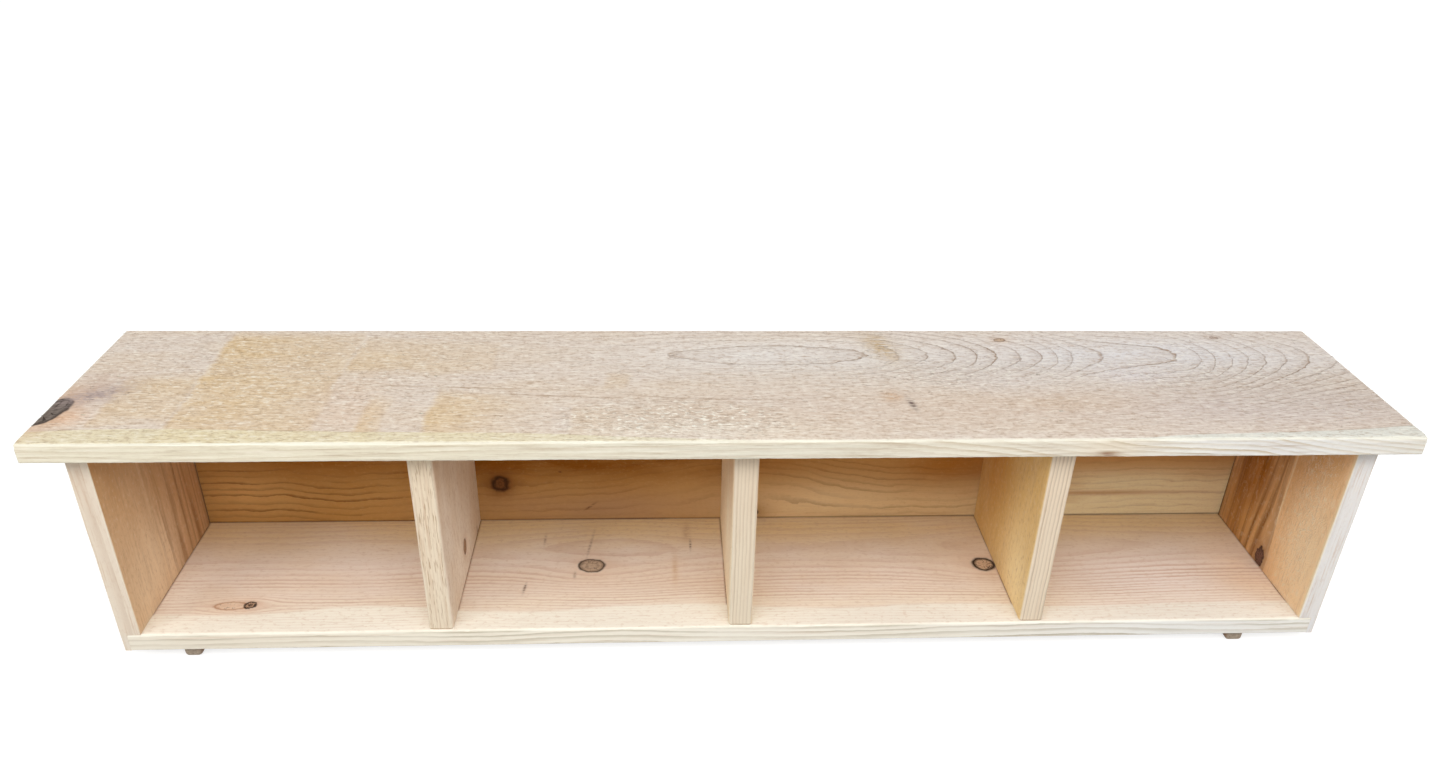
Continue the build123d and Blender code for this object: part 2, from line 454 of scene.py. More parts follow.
def woodFinish(wood):
    material, tree, shader = newMaterial(wood["name"] + "Wood")
    seed = wood["seed"]
    coords = tree.nodes.new("ShaderNodeTexCoord")
    order = ["xyz".index(letter) for letter in wood["axes"]]  # grain, across, through the board
    spot = split(wire(coords, "Object") - wood["face"])
    g, a, t = [spot[i] for i in order]
    t = t * wood.get("outward", 1)
    turned = wire(coords, "Normal")
    normal = split(vectorCalc("ABSOLUTE", turned))
    facing = split(turned)[order[2]] * wood.get("outward", 1)
    marked = soft(facing, -0.6, -0.1, wood.get("farMarks", 0), 1)  # surface marks stay off the far face
    onEnd = soft(normal[order[0]], 0.4, 0.85)
    onEdge = soft(normal[order[1]], 0.4, 0.85)
    flat = combine(tree, g * (1 - onEdge * wood.get("edgeRun", 0.7)), a, t)  # fibres run longer on edges

    knots = [knotField(g, a, t, knot, seed + 11 + i) for i, knot in enumerate(wood.get("knots", []))]
    parted = a
    for field in knots:
        parted = parted + field["shift"]
    faceLate, edgeLate, phase = growthRings(g, parted, t, wood["rings"], seed)
    figure = zoned(g, a, wood.get("ringBase", 1), wood.get("ringZones", []))
    if "ringFade" in wood:
        figure = fadeAlong(g, a, wood["ringFade"]) * figure
    late = faceLate * figure

    # ground colour: slow patches, bands where the board lay stacked, broad washes (some of them painted light
    # and shade), planed edges, sapwood
    patches = noise(combine(tree, g, a, t) * patchRate, seed + 5, detail=4, roughness=0.6)
    tone = soft(patches, 0.36, 0.64) * wood.get("mottle", 1)
    ragged = a + (patches - 0.5) * 0.08
    wander = g + (patches - 0.5) * 0.03
    for left, right, near, far, amount, lastAmount in wood.get("bands", []):
        shown = window(wander, left, right, 0.006) * window(ragged, near, far, 0.022)
        shown = shown * soft(g, left, right, amount, lastAmount)
        tone = calc("MAXIMUM", tone, shown * marked * soft(patches, 0.35, 0.6, 0.6, 1))
    colour = blend(tone, wood["pale"], wood["warm"])

    def paint(amount, over):
        nonlocal colour
        colour = blend(amount, colour, over)

    for wash in wood.get("washes", []):
        washed = spotMask(g, a, wash) * marked * wash["amount"]
        paint(washed * soft(patches, 0.3, 0.6, 0.55, 1), wash["colour"])
    if "streaks" in wood:  # long dark heartwood streaks
        streaks = wood["streaks"]
        drawn = noise(combine(tree, g * 2.2, parted * streaks["rate"], t * streaks["rate"]), seed + 9,
                      detail=4, roughness=0.6)
        drawn = soft(drawn, 0.46, 0.66) * fadeAlong(g, a, streaks["fade"])
        paint(drawn * streaks["amount"], streaks["colour"])
    if "sap" in wood:  # pale strip along the front, its width drawn point by point
        sap = wood["sap"]
        points = [((at / boardHalf + 1) / 2, wide / stripMost) for at, wide in sap["widths"]]
        width = curveThrough(g / (2 * boardHalf) + 0.5, points) * stripMost
        past = a - sap["edge"] - width + (patches - 0.5) * 0.008
        blur = sap.get("blur", 0.0012)
        strip = soft(past, blur, -blur) * sap["amount"]
        paint(strip, blend(soft(g, -0.4, 0.6), sap["colour"], sap["farColour"]))
        paint(bell((past / 0.0009) ** 2) * soft(patches, 0.45, 0.6) * sap["line"], wood["late"])
        late = late * (1 - strip * 0.8)
    paint(onEdge * wood.get("edgeShow", 0.6), wood["edge"])
    for wash in wood.get("edgeWashes", []):
        washed = spotMask(g, a, wash) * onEdge * wash["amount"]
        if "deep" in wash:  # only so far below the face
            washed = washed * bell(((t + wash["deep"][0]) / wash["deep"][1]) ** 2)
        paint(washed, wash["colour"])
    paint(late * (1 - onEdge) * wood["ringShow"], wood["late"])
    if "edgeFade" in wood:
        edgeLate = edgeLate * fadeAlong(g, a, wood["edgeFade"])
    paint(edgeLate * onEdge * wood.get("edgeRings", 0.5), wood.get("edgeLine", wood["late"]))
    paint(onEnd * wood.get("endShow", 0.4), wood["end"])

    # fibres run with the grain; torn ends stand up as pale specks, partly a painted highlight, with painted
    # shade in the pits beside them
    fuzz = wood["fuzz"]
    fibre = noise(flat * wood.get("fibreScale", (24, 420, 420)), seed + 6, detail=4, roughness=0.7)
    slanted = combine(tree, g + a * fuzz.get("slant", 0), a, t)
    torn = noise(slanted * fuzz["scale"], seed + 7, detail=3, roughness=0.62, distortion=fuzz.get("curl", 0))
    if "kerf" in fuzz:  # the saw blade's marks, straight across the board
        chatter = calc("SINE", (g + (patches - 0.5) * 0.02) * (math.tau / sawPitch))
        torn = torn + chatter * (1 - onEdge) * fuzz["kerf"]
    rough = 1 - onEdge * (1 - wood.get("edgeRough", 0.15))
    shag = rough * (marked * zoned(g, a, 0, fuzz.get("zones", [])) + fuzz["base"])
    paint(soft(fibre, 0.5, 0.7) * wood.get("fibreShow", 0.25), wood["fibreDark"])
    if "fibrePale" in wood:
        paint(soft(fibre, 0.5, 0.34) * wood["fibrePale"], wood["speckPale"])
    if "dashes" in wood:  # short resin flecks along the grain
        dashes = wood["dashes"]
        fleck = noise(flat * dashes["scale"], seed + 8, detail=2, roughness=0.5)
        fleck = soft(fleck, dashes["above"], dashes["above"] + 0.06) * (onEdge * 0.75 + 0.25)
        paint(fleck * dashes["amount"], dashes["colour"])
    # pale torn fibres, partly a painted highlight
    paint(soft(torn, 0.53, 0.66) * fuzz["speck"] * shag, wood["speckPale"])
    # painted shade in the pits beside the torn fibres
    paint(soft(torn, 0.47, 0.35) * fuzz["pit"] * rough, wood["fibreDark"])

    lifted = calc("MINIMUM", shag, 1.1)
    height = fibre * 0.35 + torn * lifted * fuzz.get("relief", 0.8) + late * wood.get("ringRelief", 0.3)
    if "loops" in fuzz:  # loose fibres lying in loops
        loop = noise(flat * fuzz["loops"], seed + 12, detail=1, distortion=0.8)
        strand = soft(calc("ABSOLUTE", loop - 0.5), 0.035, 0.008) * (shag - fuzz["base"] * rough)
        paint(strand * 0.55, wood["speckPale"])
        height = height + strand * 0.8
    if "ringStep" in wood:  # each ring overlaps the next like a shingle
        height = height + phase * figure * wood["ringStep"]
    for field in knots:
        knot = field["knot"]
        turns = field["off"] * knot.get("coreRings", 18) + field["ragged"] * 8
        ringed = calc("SINE", turns) * 0.5 + 0.5
        paint(field["halo"] * knot.get("haloShow", 0.5), knot["halo"])
        inner = blend(ringed * knot.get("ringedShow", 0.5), knot["core"], knot["coreDark"])
        paint(field["core"] * knot.get("coreShow", 0.9), inner)
        paint(field["rim"] * knot.get("rimShow", 0.9), knot["rim"])
        paint(field["crack"] * knot.get("cracks", 0.4), crackDark)
        height = height - field["rim"] * 0.5 - field["crack"] * knot.get("cracks", 0.4)
    for stain in wood.get("stains", []):
        broken = spotMask(g, a, stain) * marked * soft(torn * 0.5 + fibre * 0.5, 0.42, 0.54, 0.1, 1)
        paint(broken * stain["amount"], stain["colour"])

    # rounded arrises: paler worn wood, partly a painted highlight along the edge
    arris = wire(put(tree, "ShaderNodeAttribute", attribute_name="arris"), "Fac")
    rubbedHighlight = soft(arris, 0.1, 0.8) * soft(patches, 0.3, 0.65, 0.5, 1)
    paint(rubbedHighlight * wood.get("arrisShow", 0.6), wood["rubbedHighlight"])
    plug(tree, colour, shader.inputs["Base Color"])

    bump = put(tree, "ShaderNodeBump", {"Strength": wood.get("bump", 0.7), "Height": height,
                                        "Distance": fuzz.get("rise", 0.0006)})
    plug(tree, bump, shader.inputs["Normal"])
    plug(tree, soft(fibre + late * 0.3, 0.3, 0.9, 0.9, 0.68), shader.inputs["Roughness"])
    shader.inputs["Specular IOR Level"].default_value = 0.2
    return material


boardTree = sawnBoardTree()
sharpFrom = math.radians(50)


def makeBoard(board):
    low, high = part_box(board["node"])
    cutters = None
    boxes = board.get("slots", []) + [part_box(node) for node in board.get("rabbets", [])]
    rounds = board.get("pits", [])
    if boxes or rounds:
        cutters = newObject("cutters", boxesMesh("cutters", boxes, rounds))
    piece = newObject(board["name"])
    settle(piece, boardTree, {"Low Corner": low, "High Corner": high, "Cell": board["cell"],
                              "Ease": board["ease"], "Front Ease": board.get("frontEase", board["ease"]),
                              "Rear Ease": board.get("rearEase", board["ease"]),
                              "Ease Axes": Vector(board.get("easeAxes", (1, 1, 1))),
                              "Ease Wear": board.get("wear", 0.35), "Saw Depth": board["sawDepth"],
                              "Saw Scale": Vector(board["sawScale"]), "Crook": board.get("crook", 0.0002),
                              "Seed": board["seed"], "Cutters": cutters, "Finish": woodFinish(board)})
    if cutters:
        bpy.data.objects.remove(cutters)
    piece.data.set_sharp_from_angle(angle=sharpFrom)
    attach(piece, "root")
    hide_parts(board["node"])
    print(board["name"], "faces:", len(piece.data.polygons))
    return piece


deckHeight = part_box("top_board")[1].z
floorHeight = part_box("bottom_board")[1].z
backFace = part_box("back_board")[0].y

topBoard = dict(
    name="topPlank", node="top_board", slot="top_wood", cell=0.0035, ease=0.002, frontEase=0.0035, wear=0.4,
    sawDepth=0.0005, sawScale=(150, 150, 150), crook=0.0004, slots=nailSlots("top_nails", 2, +1),
    seed=1.0, axes="xyz", face=(0, 0, deckHeight),
    rings=dict(pithAcross=0.069, depth=0.14, width=0.0044, swayRate=4, sway=0.004, waver=0.0016, uneven=0,
               lateFrom=0.87, latePeak=0.95, edgeFrom=0.3, ramp=0.25, offset=0.669, broken=0.25,
               profile=[(-0.8, 0.022), (-0.5, 0.015), (-0.2, 0.0064), (-0.07, 0.00206), (0.05, 0),
                        (0.173, 0.00206), (0.215, 0.0065), (0.2885, 0.0153), (0.34, 0.0241), (0.399, 0.0329),
                        (0.48, 0.0461), (0.58, 0.0505), (0.631, 0.0593), (0.698, 0.0725), (0.758, 0.0813),
                        (0.8, 0.086)]),
    ringShow=0.7, ringBase=0.14, ringRelief=-0.7, ringStep=0.9, edgeRings=0.8, edgeLine=(198, 180, 152),
    edgeFade=("g", -0.75, 0.6, 0.5, 1.2),
    ringZones=[area((0.05, 0.07), (0.22, 0.06), 1.05), area((0.38, 0.06), (0.07, 0.05), 0.6),
               area((0.32, 0.075), (0.2, 0.07), 0.95), area((0.65, 0.07), (0.2, 0.085), 0.95),
               area((0.74, -0.03), (0.2, 0.07), 1.3)],
    pale=(224, 210, 197), warm=(221, 193, 150), late=(158, 130, 108), mottle=0.22,
    bands=[  # left, right, near, far, amount at the left end, amount at the right end
        (-0.652, -0.484, -0.15, 0.13, 1, 0.6), (-0.737, -0.652, -0.105, 0.012, 0.8, 0.8),
        (-0.437, -0.408, -0.15, -0.045, 0.9, 0.4), (-0.363, -0.22, -0.15, -0.03, 0.9, 0.2),
        (-0.484, -0.3, 0.02, 0.11, 0.7, 0.35), (-0.165, -0.135, -0.012, 0.012, 0.7, 0.7),
        (-0.2, -0.1, -0.14, -0.06, 0.4, 0.1)],
    sap=dict(colour=(230, 219, 183), farColour=(226, 228, 219), amount=0.8, line=0.5, edge=-0.1425,
             widths=[(-0.8, 0.027), (-0.69, 0.032), (-0.55, 0.029), (-0.39, 0.023), (-0.23, 0.019),
                     (-0.14, 0.012), (0, 0.003), (0.4, 0.001), (0.52, 0.009), (0.65, 0.015), (0.8, 0.03)]),
    fibreDark=(168, 138, 108), speckPale=(252, 246, 232), fibreShow=0.5, fibrePale=0.4,
    fibreScale=(42, 330, 330), edgeRun=0.75,
    fuzz=dict(scale=(115, 270, 270), slant=0.3, curl=0.45, kerf=0.012, base=0.5, speck=0.65, pit=0.4,
              relief=1.5, rise=0.0016,
              zones=[area((-0.58, 0.02), (0.28, 0.13), 0.4), area((-0.08, -0.095), (0.1, 0.032), 2.4),
                     area((0.194, 0.09), (0.02, 0.035), 1), area((0.27, 0.01), (0.09, 0.04), 0.6),
                     area((0.6, 0.01), (0.25, 0.03), 0.45)]),
    end=(205, 178, 150), edge=(230, 223, 202), edgeShow=0.85, rubbedHighlight=(242, 240, 224), arrisShow=0.8,
    bump=0.85,
    edgeWashes=[mark((0.62, -0.1425), (0.25, 1), (229, 228, 227), 0.8),
                mark((0.02, -0.1425), (0.25, 1), (219, 214, 199), 0.6),
                mark((0.42, -0.1425), (0.05, 1), (226, 206, 176), 0.5),
                mark((0.419, -0.1425), (0.013, 1), (136, 92, 58), 1, deep=(0.0205, 0.0035))],
    washes=[mark((0.55, 0.07), (0.35, 0.07), (225, 224, 227), 0.85),
            mark((0.05, 0.07), (0.2, 0.05), (231, 227, 223), 0.8),
            mark((0.25, -0.075), (0.3, 0.045), (216, 196, 178), 0.8),
            mark((0.65, -0.07), (0.25, 0.06), (214, 201, 196), 0.8),
            mark((-0.46, -0.06), (0.04, 0.06), (224, 199, 176), 0.7),
            mark((-0.06, -0.12), (0.12, 0.018), (238, 226, 208), 0.8),
            mark((-0.755, -0.01), (0.035, 0.04), (206, 186, 172), 0.7),
            mark((-0.763, -0.084), (0.022, 0.018), (230, 190, 158), 0.8),
            mark((0.503, 0.012), (0.05, 0.022), (229, 222, 222), 0.7),
            mark((0.344, -0.004), (0.06, 0.016), (229, 220, 215), 0.6),
            mark((0.4, -0.057), (0.08, 0.022), (214, 190, 166), 0.6),
            mark((0.02, -0.0475), (0.14, 0.0014), (178, 154, 134), 0.9, bend=0.5),
            mark((-0.22, -0.037), (0.1, 0.0013), (178, 152, 130), 0.9, bend=0, tilt=-0.075),
            mark((-0.36, -0.0141), (0.15, 0.0013), (184, 158, 132), 0.8, bend=0, tilt=-0.057)],
    knots=[knotAt((-0.792, -0.0725), 0.034, (102, 96, 91), (48, 45, 46), (50, 43, 41), (212, 164, 124),
                  stretch=0.56, slant=0.25, taper=15, haloReach=1.55, haloShow=0.7, reach=1.5, push=0.5,
                  coreRings=16, ragged=0.7, cracks=0.8, rimWidth=0.09),
           knotAt((0.359, 0.1125), 0.005, (205, 172, 134), (160, 122, 88), (110, 74, 50), (206, 172, 140),
                  stretch=1.5, haloShow=0.4, rimShow=0.7, coreShow=0.5),
           knotAt((0.658, 0.1195), 0.004, (176, 146, 124), (130, 100, 84), (132, 104, 90), (204, 178, 160),
                  stretch=1.5, haloShow=0.4, rimShow=0.5, coreShow=0.4)],
    stains=[mark((0.194, 0.0925), (0.019, 0.042), (202, 176, 140), 1, slant=0.2),
            mark((0.185, -0.0415), (0.013, 0.012), (202, 164, 128), 0.8),
            mark((0.205, -0.0595), (0.004, 0.014), (120, 102, 94), 1, slant=0.15),
            mark((-0.757, -0.033), (0.03, 0.024), (172, 154, 150), 0.9, slant=-0.9)])
topPlank = makeBoard(topBoard)


# Torn fibres: slivers that the saw left standing on the upper face, thickest where it tore most
def tornFibreTree(base, zones):
    tree = bpy.data.node_groups.new("tornFibres", "GeometryNodeTree")
    given = inputSockets(tree, {"Board": "Object", "Low Corner": "Vector", "High Corner": "Vector",
                                "Per Square Metre": "Float", "Smallest": "Vector", "Largest": "Vector",
                                "Turn": "Float", "Lean": "Float", "Seed": "Int", "Finish": "Material"})
    board = put(tree, "GeometryNodeObjectInfo", {"Object": given["Board"]}, transform_space="RELATIVE")
    x, y = split(wire(put(tree, "GeometryNodeInputPosition")))[:2]
    upward = split(wire(put(tree, "GeometryNodeInputNormal")))[2]
    points = put(tree, "GeometryNodeDistributePointsOnFaces",
                 {"Mesh": wire(board, "Geometry"), "Selection": calc("GREATER_THAN", upward, 0.95),
                  "Density": given["Per Square Metre"] * zoned(x, y, base, zones), "Seed": given["Seed"]})
    lying = math.pi / 2
    least = combine(tree, 0, lying - given["Lean"], given["Turn"] * -1)
    most = combine(tree, 0, given["Lean"] + lying, given["Turn"])
    turned, sized = [put(tree, "FunctionNodeRandomValue", {0: low, 1: high, "Seed": seed},
                         data_type="FLOAT_VECTOR")
                     for low, high, seed in ((least, most, given["Seed"]),
                                             (given["Smallest"], given["Largest"], given["Seed"] + 1))]
    sliver = put(tree, "GeometryNodeMeshUVSphere", {"Segments": 4, "Rings": 3, "Radius": 0.5})
    strewn = put(tree, "GeometryNodeInstanceOnPoints",
                 {"Points": points, "Instance": sliver, "Scale": sized,
                  "Rotation": wire(put(tree, "FunctionNodeEulerToRotation", {0: turned}))})
    whole = put(tree, "GeometryNodeRealizeInstances", {"Geometry": strewn})
    place = wire(put(tree, "GeometryNodeInputPosition"))
    kept = vectorCalc("MAXIMUM", vectorCalc("MINIMUM", place, given["High Corner"]), given["Low Corner"])
    pressed = put(tree, "GeometryNodeSetPosition", {"Geometry": whole, "Position": kept})
    smooth = put(tree, "GeometryNodeSetShadeSmooth", {"Geometry": pressed})
    finished = put(tree, "GeometryNodeSetMaterial", {"Geometry": smooth, "Material": given["Finish"]})
    plug(tree, finished, tree.nodes.new("NodeGroupOutput").inputs[0])
    return tree


tornFibres = dict(  # sizes are height, width and length
    topBoard, name="topFibres", perSquareMetre=26000.0, smallest=(0.0003, 0.0003, 0.003),
    largest=(0.0009, 0.0007, 0.009), turn=0.3, lean=0.1, pointSeed=4, base=0.55,
    edgeShow=0, endShow=0, edgeRings=0, edgeWashes=[])
fibreLow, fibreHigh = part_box(topBoard["node"])
fibreTree = tornFibreTree(tornFibres["base"], tornFibres["fuzz"]["zones"])
topFibres = settle(newObject(tornFibres["name"]), fibreTree,
                   {"Board": topPlank, "Low Corner": fibreLow, "High Corner": fibreHigh,
                    "Per Square Metre": tornFibres["perSquareMetre"],
                    "Smallest": Vector(tornFibres["smallest"]), "Largest": Vector(tornFibres["largest"]),
                    "Turn": tornFibres["turn"], "Lean": tornFibres["lean"], "Seed": tornFibres["pointSeed"],
                    "Finish": woodFinish(tornFibres)})
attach(topFibres, "root")
print(tornFibres["name"], "faces:", len(topFibres.data.polygons))

bottomBoard = dict(
    name="bottomPlank", node="bottom_board", slot="bottom_wood", cell=0.0045, ease=0.0016, frontEase=0.003,
    rearEase=0.0004, easeAxes=(0, 1, 1), sawDepth=0.00012, sawScale=(30, 150, 150),
    slots=nailSlots("bottom_nails", 2, -1), seed=2.0, axes="xyz", face=(0, 0, floorHeight),
    rings=dict(pithAcross=0.045, depth=0.108, width=0.004, swayRate=2.4, sway=0.01, waver=0.0022, uneven=1.5,
               lateFrom=0.35, broken=0.6, offset=0.4,
               dips=[(-0.175, 0.11, 0.005), (0.42, 0.16, 0.006), (-0.48, 0.1, 0.004)]),
    ringShow=0.8, ringFade=("a", -0.03, 0.05, 1, 0.5), edgeRings=1, edgeLine=(172, 158, 132),
    ringZones=[area((-0.18, 0.04), (0.1, 0.03), 0.8), area((0.55, -0.02), (0.2, 0.03), 0.5)],
    pale=(240, 224, 210), warm=(236, 216, 196), late=(204, 164, 140),
    sap=dict(colour=(252, 247, 232), farColour=(246, 241, 229), amount=0.9, line=0.3, blur=0.004,
             edge=-0.1175,
             widths=[(-0.8, 0.038), (-0.6, 0.038), (-0.47, 0.05), (-0.29, 0.034), (-0.08, 0.045),
                     (0.12, 0.035), (0.28, 0.04), (0.46, 0.03), (0.6, 0.034), (0.8, 0.034)]),
    fibreDark=(206, 176, 150), speckPale=(248, 238, 224), fibreShow=0.35,
    fuzz=dict(scale=(120, 240, 240), base=0.4, speck=0.3, pit=0.3, relief=0.5),
    end=(214, 186, 156), edge=(236, 229, 212), edgeShow=0.75, rubbedHighlight=(251, 247, 232), arrisShow=0.7,
    bump=0.4,
    edgeWashes=[mark((0.6, -0.1175), (0.3, 1), (236, 236, 233), 0.8),
                mark((0.05, -0.1175), (0.25, 1), (243, 238, 225), 0.7),
                mark((-0.65, -0.1175), (0.15, 1), (230, 220, 202), 0.6)],
    washes=[mark((0, 0.105), (3, 0.05), (247, 222, 174), 0.95),
            mark((0, -0.075), (3, 0.028), (248, 236, 214), 0.6),
            # painted shade beside the right divider
            mark((0.3, 0.03), (0.07, 0.04), (222, 190, 148), 0.7),
            mark((0.43, 0), (0.04, 0.04), (222, 198, 174), 0.6),
            mark((0.58, -0.03), (0.16, 0.07), (240, 229, 224), 0.7),
            # painted light on the bottom board beside the left side
            mark((-0.722, -0.045), (0.03, 0.06), (255, 246, 234), 0.6),
            # painted reflection: warm light bounced off the right side
            mark((0.7, -0.015), (0.045, 0.06), (240, 196, 142), 0.4),
            # painted shadow and dirt in the joint against the back board
            mark((0, 0.1175), (3, 0.002), (166, 122, 84), 0.7)],
    knots=[knotAt((-0.645, -0.0645), 0.008, (232, 204, 176), (212, 172, 138), (170, 118, 84), (216, 174, 142),
                  stretch=2.8, haloShow=0.4, rimShow=0.7, coreShow=0.5),
           knotAt((-0.622, -0.0635), 0.0072, (186, 150, 120), (48, 34, 28), (40, 28, 22), (206, 150, 112),
                  stretch=1.1, haloReach=1.5, haloShow=0.3, cracks=1, ringedShow=1, coreRings=9, ragged=1.1,
                  rimShow=0.8),
           knotAt((-0.19, 0.0095), 0.0145, (188, 162, 136), (128, 103, 82), (50, 37, 30), (218, 184, 154),
                  stretch=1.25, rimWidth=0.1, cracks=0.5),
           knotAt((0.35, 0.003), 0.0135, (206, 176, 146), (170, 134, 104), (46, 32, 24), (214, 178, 148),
                  stretch=1.1, haloShow=0.45, rimWidth=0.18, rimShow=1, cracks=1)],
    stains=[mark((-0.259, 0.068), (0.0018, 0.012), (150, 116, 94), 0.6),
            mark((-0.195, 0.056), (0.002, 0.028), (150, 116, 94), 0.6, slant=-0.12),
            mark((-0.276, -0.036), (0.0018, 0.01), (110, 86, 74), 0.9, slant=-0.1),
            mark((-0.212, -0.01), (0.002, 0.007), (150, 120, 100), 0.7),
            mark((-0.077, -0.002), (0.004, 0.03), (206, 164, 116), 0.6),
            mark((-0.06, 0.085), (0.006, 0.02), (196, 158, 122), 0.6),
            mark((-0.055, 0.053), (0.0016, 0.012), (130, 100, 82), 0.8)])
for node in ("left_side", "left_divider", "centre_divider", "right_divider", "right_side"):
    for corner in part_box(node):  # painted shadow and dirt in the joint along each upright
        bottomBoard["washes"].append(mark((corner.x, 0), (0.0016, 3), (128, 84, 50), 0.9))
makeBoard(bottomBoard)

backBoard = dict(
    name="backPlank", node="back_board", slot="back_wood", cell=0.005, ease=0.002,
    sawDepth=0.00015, sawScale=(30, 150, 150), slots=nailSlots("back_nails", 1, +1),
    seed=3.0, axes="xzy", face=(0, backFace, 0), outward=-1,
    rings=dict(pithAcross=0.26, depth=0.06, width=0.0105, swayRate=5, sway=0.05, waver=0.009, uneven=2.4,
               lateFrom=0.5, latePeak=0.93, broken=0.85),
    ringShow=0.85, ringBase=0.3,
    ringZones=[area((-0.58, 0.09), (0.18, 0.2), 0.7), area((0.19, 0.08), (0.16, 0.1), 0.15)],
    pale=(209, 161, 97), warm=(201, 149, 80), late=(130, 79, 30), mottle=0.8,
    fibreDark=(176, 122, 66), speckPale=(230, 190, 134), fibreShow=0.2,
    fuzz=dict(scale=(160, 320, 320), base=0.4, speck=0.3, pit=0.12, relief=0.6),
    end=(196, 160, 122), edge=(222, 200, 168), edgeShow=0.5, rubbedHighlight=(236, 220, 190), arrisShow=0.5,
    bump=0.5,
    # painted light on the lower back in bays 3 and 4
    washes=[mark((0.62, 0.065), (0.3, 0.07), (255, 240, 200), 1.4),
            mark((0.14, 0.06), (0.17, 0.05), (252, 224, 178), 1.1),
            mark((-0.68, 0.095), (0.07, 0.035), (240, 192, 126), 0.8),
            mark((-0.2, 0.06), (0.2, 0.035), (196, 157, 122), 0.8),
            # painted shade on the upper back, under the top
            mark((-0.25, 0.15), (0.36, 0.035), (150, 90, 12), 1.3),
            mark((-0.56, 0.145), (0.1, 0.025), (160, 98, 16), 0.8),
            mark((0.33, 0.138), (0.11, 0.042), (172, 109, 20), 0.95),
            mark((0.62, 0.15), (0.3, 0.025), (200, 142, 78), 1.1),
            mark((0.55, 0.083), (0.12, 0.004), (186, 126, 76), 0.8),
            # painted shadow and dirt in the joint along the bottom board
            mark((0, 0.044), (3, 0.0014), (96, 56, 28), 0.8)],
    knots=[knotAt((-0.3235, 0.1065), 0.0112, (132, 86, 46), (76, 44, 20), (56, 30, 12), (120, 68, 24),
                  stretch=1, haloShow=0.9, haloReach=1.8, rimWidth=0.3, rimShow=0.8, ragged=0.9, coreRings=9),
           knotAt((0.035, 0.054), 0.008, (150, 104, 68), (90, 60, 38), (70, 44, 28), (160, 110, 66), reach=12,
                  run=1.4, push=0.95, haloShow=0.6)],
    stains=[mark((-0.198, 0.066), (0.0025, 0.006), (104, 66, 38), 0.8, slant=-1.2),
            mark((-0.2384, 0.1258), (0.0022, 0.0012), (70, 42, 24), 1)])
makeBoard(backBoard)

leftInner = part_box("left_side")[1].x
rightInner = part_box("right_side")[0].x
uprightRings = dict(sway=0.006, waver=0.0018, uneven=1.5, lateFrom=0.4)
upright = dict(  # what the sides, dividers and runners have in common
    cell=0.004, ease=0.002, rearEase=0.0004, easeAxes=(1, 1, 0), sawDepth=0.00015, sawScale=(150, 150, 30),
    axes="zyx", ringShow=0.15, edgeRings=0.6, edgeLine=(186, 160, 130),
    pale=(230, 206, 178), warm=(224, 194, 160), late=(184, 142, 106),
    fibreDark=(190, 152, 116), speckPale=(244, 228, 202), fibreShow=0.35,
    fuzz=dict(scale=(130, 230, 230), base=0.5, speck=0.35, pit=0.3, relief=0.6),
    end=(206, 174, 138), edge=(226, 211, 188), edgeShow=0.8, rubbedHighlight=(246, 239, 222), bump=0.5)
# painted shadow and dirt in the seam against the back board
rearSeamShade = mark((0, 0.1175), (2, 0.0042), (72, 42, 22), 0.95)

leftSide = dict(
    upright, name="leftPanel", node="left_side", slot="side_wood", rabbets=["bottom_board"],
    seed=4.0, face=(leftInner, 0, 0),
    rings=dict(uprightRings, pithAcross=0.02, depth=0.06, width=0.007, broken=0.8),
    ringShow=0.55, ringFade=("a", -0.03, 0, 0.15, 1), edgeRings=0.9, edgeLine=(196, 170, 148),
    edgeRough=0.45, edgeRun=0.35, fibreShow=0.5,
    pale=(228, 190, 148), warm=(220, 178, 132), late=(152, 100, 64), edge=(228, 219, 204),
    streaks=dict(rate=55, fade=("a", -0.03, 0.005, 0.1, 1), amount=0.85, colour=(148, 96, 46)),
    # painted light low at the front of the inner face
    washes=[mark((0.08, -0.03), (0.08, 0.08), (255, 230, 196), 0.9),
            # painted shade under the top and towards the rear
            mark((0.3, -0.03), (0.075, 0.3), (186, 133, 74), 0.65),
            mark((0.17, 0.06), (0.4, 0.06), (196, 134, 64), 0.3),
            mark((0.17, -0.022), (0.4, 0.004), (240, 208, 168), 0.7),
            rearSeamShade,
            mark((0.03, -0.1), (0.013, 0.05), (228, 219, 204), 1)])
makeBoard(leftSide)

